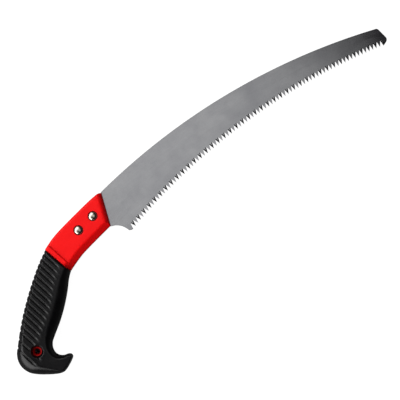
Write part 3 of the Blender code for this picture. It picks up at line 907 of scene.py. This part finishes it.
class Nodes:
    """Short calls that build a node tree."""

    def __init__(self, name):
        self.material = bpy.data.materials.new(name)
        self.material.use_nodes = True
        self.tree = self.material.node_tree
        self.shader = self.tree.nodes["Principled BSDF"]

    def feed(self, socket, value):
        """Links another node's output to a socket, or gives the socket a plain value."""
        if isinstance(value, bpy.types.NodeSocket):
            self.tree.links.new(value, socket)
        else:
            socket.default_value = value

    def put(self, kind, inputs=None, **settings):
        node = self.tree.nodes.new(kind)
        for key, value in settings.items():
            setattr(node, key, value)
        for key, value in (inputs or {}).items():
            self.feed(node.inputs[key], value)
        return node

    def place(self):
        return self.put("ShaderNodeTexCoord").outputs["Object"]

    def stretched(self, vector, scale):
        mapping = self.put("ShaderNodeMapping", {"Vector": vector, "Scale": scale})
        return mapping.outputs["Vector"]

    def noise(self, vector, scale, detail=3.0, rough=0.5):
        inputs = {"Vector": vector, "Scale": scale, "Detail": detail, "Roughness": rough}
        return self.put("ShaderNodeTexNoise", inputs).outputs["Fac"]

    def span(self, value, low, high, to_low=0.0, to_high=1.0):
        names = ("Value", "From Min", "From Max", "To Min", "To Max")
        inputs = dict(zip(names, (value, low, high, to_low, to_high)))
        return self.put("ShaderNodeMapRange", inputs).outputs[0]

    def sum(self, a, b, operation="ADD"):
        return self.put("ShaderNodeMath", {0: a, 1: b}, operation=operation).outputs[0]

    def mixed(self, share, a, b):
        mix = self.put("ShaderNodeMix", data_type="RGBA")
        for name, kind, value in (("Factor", "VALUE", share), ("A", "RGBA", a), ("B", "RGBA", b)):
            socket = next(s for s in mix.inputs if (s.name, s.type) == (name, kind))
            self.feed(socket, value)
        return next(s for s in mix.outputs if s.type == "RGBA")

    def bump(self, height, strength, distance):
        inputs = {"Height": height, "Strength": strength, "Distance": distance}
        return self.put("ShaderNodeBump", inputs).outputs["Normal"]

    def from_axis(self, place, centre):
        """The distance from an upright line through a point given in millimetres."""
        parts = self.put("ShaderNodeSeparateXYZ", {0: place}).outputs
        flat = self.put("ShaderNodeCombineXYZ", {"X": parts["X"], "Y": parts["Y"]}).outputs[0]
        foot = (centre[0] * MM + ORIGIN.x, centre[1] * MM + ORIGIN.y, 0)
        between = self.put("ShaderNodeVectorMath", {0: flat, 1: foot}, operation="DISTANCE")
        return between.outputs["Value"]

    def set(self, **values):
        for key, value in values.items():
            self.feed(self.shader.inputs[key.replace("_", " ")], value)


def along_blade(n):
    """Texture coordinates that follow the blade's curve: along it, across it, through it."""
    centre = (BACK_CENTRE[0] * MM + ORIGIN.x, BACK_CENTRE[1] * MM + ORIGIN.y, 0)
    local = n.put("ShaderNodeVectorMath", {0: n.place(), 1: centre}, operation="SUBTRACT")
    parts = n.put("ShaderNodeSeparateXYZ", {0: local.outputs[0]})
    angle = n.sum(parts.outputs["X"], parts.outputs["Y"], "ARCTAN2")
    x2 = n.sum(parts.outputs["X"], parts.outputs["X"], "MULTIPLY")
    y2 = n.sum(parts.outputs["Y"], parts.outputs["Y"], "MULTIPLY")
    radius = n.put("ShaderNodeMath", {0: n.sum(x2, y2)}, operation="SQRT").outputs[0]
    length = n.sum(angle, BACK_RADIUS * MM, "MULTIPLY")
    inputs = {"X": length, "Y": radius, "Z": parts.outputs["Z"]}
    return n.put("ShaderNodeCombineXYZ", inputs).outputs[0]


def blade_steel():
    """Satin steel: fine marks along the blade, cloudy smears, and painted shade that darkens it
    toward the tip.
    """
    n = Nodes("satin_ground_steel")
    path = along_blade(n)
    marks = n.noise(n.stretched(path, (45, 3200, 400)), 1.0, 4.0, 0.6)
    clouds = n.noise(path, 34.0, 4.0, 0.55)
    smears = n.noise(n.stretched(path, (60, 190, 60)), 1.0, 5.0, 0.6)
    tone = n.mixed(n.span(clouds, 0.3, 0.7), (0.31, 0.312, 0.328, 1), (0.40, 0.402, 0.412, 1))
    tone = n.mixed(n.span(marks, 0.3, 0.7, 0.0, 0.18), tone, (0.28, 0.28, 0.287, 1))
    # Painted shade: the steel darkens over the last millimetres to the tip, standing in for the
    # darker reflection there
    ends = n.put("ShaderNodeSeparateXYZ", {0: n.place()}).outputs["X"]
    start, full = (ORIGIN.x + (TIP_X - back) * MM for back in TIP_PAINTED_SHADE_FROM_TIP)
    tip_shade = n.span(ends, start, full, 0.0, TIP_PAINTED_SHADE_SHARE)
    tone = n.mixed(tip_shade, tone, (0.08, 0.073, 0.093, 1))
    rough = n.sum(n.span(marks, 0.3, 0.7, 0.16, 0.21), n.span(smears, 0.35, 0.7, -0.015, 0.03))
    relief = n.bump(marks, 0.12, 0.00004)
    n.set(Base_Color=tone, Roughness=rough, Normal=relief, Metallic=1.0)
    return n.material


def tooth_steel():
    """The ground flanks of the teeth: darker steel than the blade, with marks across each facet."""
    n = Nodes("ground_tooth_steel")
    marks = n.noise(n.stretched(n.place(), (5200, 900, 900)), 1.0, 3.0, 0.5)
    tone = n.mixed(n.span(marks, 0.3, 0.7), (0.06, 0.06, 0.065, 1), (0.14, 0.14, 0.15, 1))
    rough = n.span(marks, 0.3, 0.7, 0.2, 0.32)
    n.set(Base_Color=tone, Roughness=rough, Normal=n.bump(marks, 0.2, 0.00003), Metallic=1.0)
    return n.material


def red_nylon():
    """Moulded nylon: a fine grain, flow marks and scuffs, and painted shade in the rivet recesses
    and around the lanyard hole.
    """
    n = Nodes("moulded_red_nylon")
    place = n.place()
    grain = n.noise(place, 2600.0, 2.0, 0.6)
    flow = n.noise(n.stretched(place, (40, 90, 60)), 1.0, 4.0, 0.5)
    scuffs = n.noise(n.stretched(place, (900, 140, 300)), 1.0, 5.0, 0.7)
    tone = n.mixed(n.span(flow, 0.3, 0.7), (0.86, 0.003, 0.004, 1), (0.93, 0.005, 0.006, 1))
    tone = n.mixed(n.span(scuffs, 0.66, 0.85, 0.0, 0.25), tone, (0.93, 0.03, 0.03, 1))
    rough = n.sum(n.span(grain, 0.3, 0.7, 0.34, 0.44), n.span(scuffs, 0.5, 0.8, 0.0, 0.12))
    # Painted shade: near black in each rivet recess and around the cord hole, standing in for the
    # shadow that falls there
    painted_shade_spots = [((x, 0), *RECESS_PAINTED_SHADE) for x in RIVET_X] + [(tuple(LANYARD), *HOLE_PAINTED_SHADE)]
    for centre, reach, share in painted_shade_spots:
        out = n.from_axis(place, centre)
        near = n.span(out, reach * MM, (reach + PAINTED_SHADE_FADE) * MM, share, 0.0)
        tone = n.mixed(near, tone, (0.02, 0.003, 0.003, 1))
    n.set(Base_Color=tone, Roughness=rough, Normal=n.bump(grain, 0.12, 0.00005))
    n.set(Specular_IOR_Level=0.14)
    return n.material


def grip_rubber():
    """Moulded rubber: a pebbled grain, uneven patches, and dust in the grooves."""
    n = Nodes("moulded_black_rubber")
    place = n.place()
    grain = n.noise(place, 1500.0, 3.0, 0.6)
    patches = n.noise(place, 60.0, 4.0, 0.55)
    groove = n.put("ShaderNodeAttribute", attribute_name="groove").outputs["Fac"]
    tone = n.mixed(n.span(patches, 0.3, 0.7), (0.0015, 0.0015, 0.002, 1), (0.003, 0.0026, 0.003, 1))
    tone = n.mixed(n.span(groove, 0.3, 1.0, 0.0, 0.3), tone, (0.010, 0.009, 0.008, 1))
    rough = n.sum(n.span(grain, 0.3, 0.7, 0.25, 0.34), n.span(patches, 0.3, 0.7, -0.03, 0.04))
    n.set(Base_Color=tone, Roughness=rough, Normal=n.bump(grain, 0.3, 0.00006))
    n.set(Specular_IOR_Level=0.3)
    return n.material


def nickel_plate():
    """Bright plating with hairline scratches and a slightly warm tint."""
    n = Nodes("nickel_plate")
    place = n.place()
    haze = n.noise(place, 500.0, 4.0, 0.6)
    hairs = n.noise(n.stretched(place, (9000, 700, 2000)), 1.0, 2.0, 0.5)
    tone = n.mixed(n.span(haze, 0.3, 0.7), (0.44, 0.40, 0.34, 1), (0.51, 0.47, 0.405, 1))
    rough = n.sum(n.span(haze, 0.3, 0.7, 0.2, 0.28), n.span(hairs, 0.55, 0.75, 0.0, 0.1))
    n.set(Base_Color=tone, Roughness=rough, Normal=n.bump(hairs, 0.05, 0.00002), Metallic=1.0)
    return n.material


def floor_paper():
    """Pale paper that looks lit from below to the camera, but not under the lanyard hole."""
    n = Nodes("white_paper_floor")
    place = n.place()
    fibres = n.noise(place, 220.0, 4.0, 0.6)
    tone = n.mixed(fibres, (0.12, 0.12, 0.12, 1), (0.15, 0.15, 0.15, 1))
    away = n.from_axis(place, LANYARD)
    glow = n.span(away, GLOW_START * MM, (GLOW_START + GLOW_FADE) * MM, 0.0, FLOOR_GLOW)
    seen = n.put("ShaderNodeLightPath").outputs["Is Camera Ray"]
    glow = n.sum(glow, seen, "MULTIPLY")
    n.set(Base_Color=tone, Roughness=0.9, Normal=n.bump(fibres, 0.05, 0.0002))
    n.set(Emission_Color=(1, 1, 1, 1), Emission_Strength=glow)
    return n.material


# Stage


def add_floor():
    work = bmesh.new()
    bmesh.ops.create_circle(work, cap_ends=True, segments=96, radius=FLOOR_RADIUS)
    mesh = bpy.data.meshes.new("floor")
    work.to_mesh(mesh)
    work.free()
    floor = bpy.data.objects.new("floor", mesh)
    bpy.context.scene.collection.objects.link(floor)
    mesh.materials.append(floor_paper())


def add_camera():
    """The camera looks straight down, with the saw's length up and to the right."""
    data = bpy.data.cameras.new("camera")
    data.lens = LENS
    data.sensor_width = SENSOR
    distance = VIEW_WIDTH * MM * LENS / SENSOR
    data.clip_start, data.clip_end = CLIP
    camera = bpy.data.objects.new("camera", data)
    x, y = VIEW_CENTRE
    camera.location = ORIGIN + Vector((x * MM, y * MM, distance))
    camera.rotation_euler = (0, 0, radians(-45))
    bpy.context.scene.collection.objects.link(camera)
    bpy.context.scene.camera = camera


def soft_box(name, size, power):
    data = bpy.data.lights.new(name, "AREA")
    data.shape = "RECTANGLE"
    data.size, data.size_y = size
    data.energy = power
    box = bpy.data.objects.new(name, data)
    bpy.context.scene.collection.objects.link(box)
    return box


def add_light(name, target, azimuth, elevation, distance, size, power):
    """A soft box that faces its target. The azimuth is measured from +X toward +Y."""
    light = soft_box(name, size, power)
    level, rise = cos(radians(elevation)), sin(radians(elevation))
    way = Vector((level * cos(radians(azimuth)), level * sin(radians(azimuth)), rise))
    light.location = Vector(target) + way * distance
    light.rotation_euler = (-way).to_track_quat("-Z", "Y").to_euler()


def grey_ramp(tree, value, stops):
    """A colour ramp of greys. The stops are places and brightnesses, in order."""
    ramp = tree.nodes.new("ShaderNodeValToRGB")
    tree.links.new(value, ramp.inputs[0])
    elements = ramp.color_ramp.elements
    for element, (place, grey) in ((elements[0], stops[0]), (elements[1], stops[-1])):
        element.position = place
        element.color = (grey, grey, grey, 1)
    for place, grey in stops[1:-1]:
        elements.new(place).color = (grey, grey, grey, 1)
    return ramp.outputs[0]


def add_graded_card():
    """A soft box level above the blade that is bright over its root and fades toward its tip."""
    low, high = CARD_X
    card = soft_box("graded_card", (high - low, CARD_DEPTH), CARD_POWER)
    card.location = ((low + high) / 2, 0, CARD_HEIGHT)
    card.data.use_nodes = True
    tree = card.data.node_tree
    emission = tree.nodes["Emission"]
    surface = tree.nodes.new("ShaderNodeNewGeometry")
    parts = tree.nodes.new("ShaderNodeSeparateXYZ")
    across = tree.nodes.new("ShaderNodeMapRange")
    tree.links.new(surface.outputs["Parametric"], parts.inputs[0])
    tree.links.new(parts.outputs["Y"], across.inputs[0])
    across.inputs["To Min"].default_value, across.inputs["To Max"].default_value = CARD_ACROSS
    along = grey_ramp(tree, parts.outputs["X"], CARD_STOPS)
    tree.links.new(along, emission.inputs["Color"])
    tree.links.new(across.outputs[0], emission.inputs["Strength"])


def add_world():
    """White to the camera. As light it is dim at the horizon and dark above."""
    world = bpy.data.worlds.new("studio")
    world.use_nodes = True
    tree = world.node_tree
    white = tree.nodes["Background"]
    white.inputs[0].default_value = (1, 1, 1, 1)
    where = tree.nodes.new("ShaderNodeTexCoord")
    parts = tree.nodes.new("ShaderNodeSeparateXYZ")
    lit = tree.nodes.new("ShaderNodeBackground")
    pick = tree.nodes.new("ShaderNodeMixShader")
    path = tree.nodes.new("ShaderNodeLightPath")
    tree.links.new(where.outputs["Generated"], parts.inputs[0])
    tree.links.new(grey_ramp(tree, parts.outputs["Z"], SKY_STOPS), lit.inputs[0])
    tree.links.new(path.outputs["Is Camera Ray"], pick.inputs[0])
    tree.links.new(lit.outputs[0], pick.inputs[1])
    tree.links.new(white.outputs[0], pick.inputs[2])
    tree.links.new(pick.outputs[0], tree.nodes["World Output"].inputs[0])
    bpy.context.scene.world = world
    bpy.context.scene.view_settings.view_transform = "Standard"


def main():
    add_blade(blade_steel(), tooth_steel())
    add_core(red_nylon())
    add_rivets(nickel_plate())
    add_grip(grip_rubber())
    add_floor()
    add_camera()
    add_world()
    add_light(*BACK_LIGHT)
    add_light(*SIDE_LIGHT)
    add_graded_card()


main()
